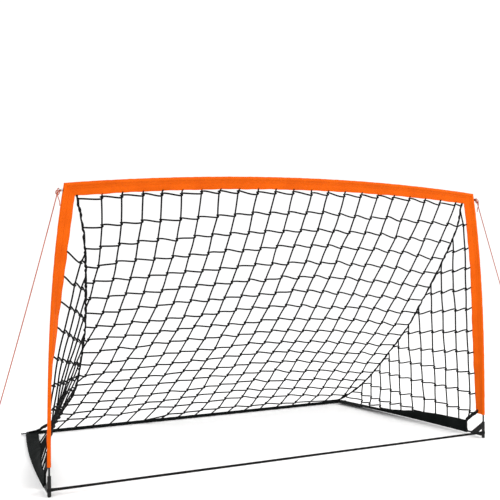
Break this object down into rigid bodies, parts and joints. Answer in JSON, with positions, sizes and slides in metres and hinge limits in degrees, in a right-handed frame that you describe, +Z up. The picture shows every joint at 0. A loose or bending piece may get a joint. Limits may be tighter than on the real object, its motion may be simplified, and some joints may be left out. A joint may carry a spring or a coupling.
{
  "type": "soccer goal frame",
  "caption": "Small portable soccer goal: a bowed orange-sleeved arch plugged into two corner brackets, a ground frame with skirts, a sloping net and two guy ropes.",
  "frame": {"origin": "on the ground under the middle of the frame, the centre of the bottom of the box round everything but the guy ropes", "axes": "+X to the right seen from the field, +Y back into the goal, +Z up"},
  "size_m": [2.366, 1.0348, 1.0719],
  "materials": {
    "orange_cloth": "woven Oxford cloth, slightly wrinkled",
    "black_cloth": "woven Oxford cloth",
    "black_webbing": "ribbed webbing",
    "black_net": "braided net cord",
    "orange_rope": "twisted cord",
    "black_rod": "smooth fibreglass",
    "ferrule_steel": "drawn steel",
    "black_steel": "satin powder coat",
    "black_rubber": "matt rubber",
    "black_plastic": "moulded plastic"
  },
  "bodies": {
    "base": {"left_corner_bracket": "black_steel", "left_foot_cap": "black_rubber", "left_side_rod_front": "black_rod", "left_side_rod_rear": "black_rod", "left_side_ferrule": "ferrule_steel", "left_rear_elbow": "black_plastic", "left_skirt": "black_cloth", "left_skirt_strap": "black_webbing", "left_peg_loop": "black_webbing", "left_net": "black_net", "right_corner_bracket": "black_steel", "right_foot_cap": "black_rubber", "right_side_rod_front": "black_rod", "right_side_rod_rear": "black_rod", "right_side_ferrule": "ferrule_steel", "right_rear_elbow": "black_plastic", "right_skirt": "black_cloth", "right_skirt_strap": "black_webbing", "right_peg_loop": "black_webbing", "right_net": "black_net", "back_bar_left": "black_rod", "back_bar_right": "black_rod", "back_bar_ferrule": "ferrule_steel", "back_bar_sleeve": "black_cloth", "front_strap": "black_webbing", "back_net": "black_net"},
    "arch": {"left_upright_pole_lower": "black_rod", "left_upright_pole_upper": "black_rod", "left_upright_ferrule": "ferrule_steel", "left_top_elbow": "black_plastic", "left_sleeve": "orange_cloth", "left_guy_tab": "black_webbing", "left_guy_knot": "orange_rope", "left_guy_rope": "orange_rope", "left_ground_loop": "orange_rope", "right_upright_pole_lower": "black_rod", "right_upright_pole_upper": "black_rod", "right_upright_ferrule": "ferrule_steel", "right_top_elbow": "black_plastic", "right_sleeve": "orange_cloth", "right_guy_tab": "black_webbing", "right_guy_knot": "orange_rope", "right_guy_rope": "orange_rope", "right_ground_loop": "orange_rope", "crossbar_pole_left": "black_rod", "crossbar_pole_middle": "black_rod", "crossbar_pole_right": "black_rod", "crossbar_ferrule_left": "ferrule_steel", "crossbar_ferrule_right": "ferrule_steel", "crossbar_sleeve": "orange_cloth"}
  },
  "joints": [
    {"name": "arch_lift", "type": "slide", "parent": "base", "child": "arch", "axis": [0, 0, 1], "range_m": [0, 0.05]}
  ]
}
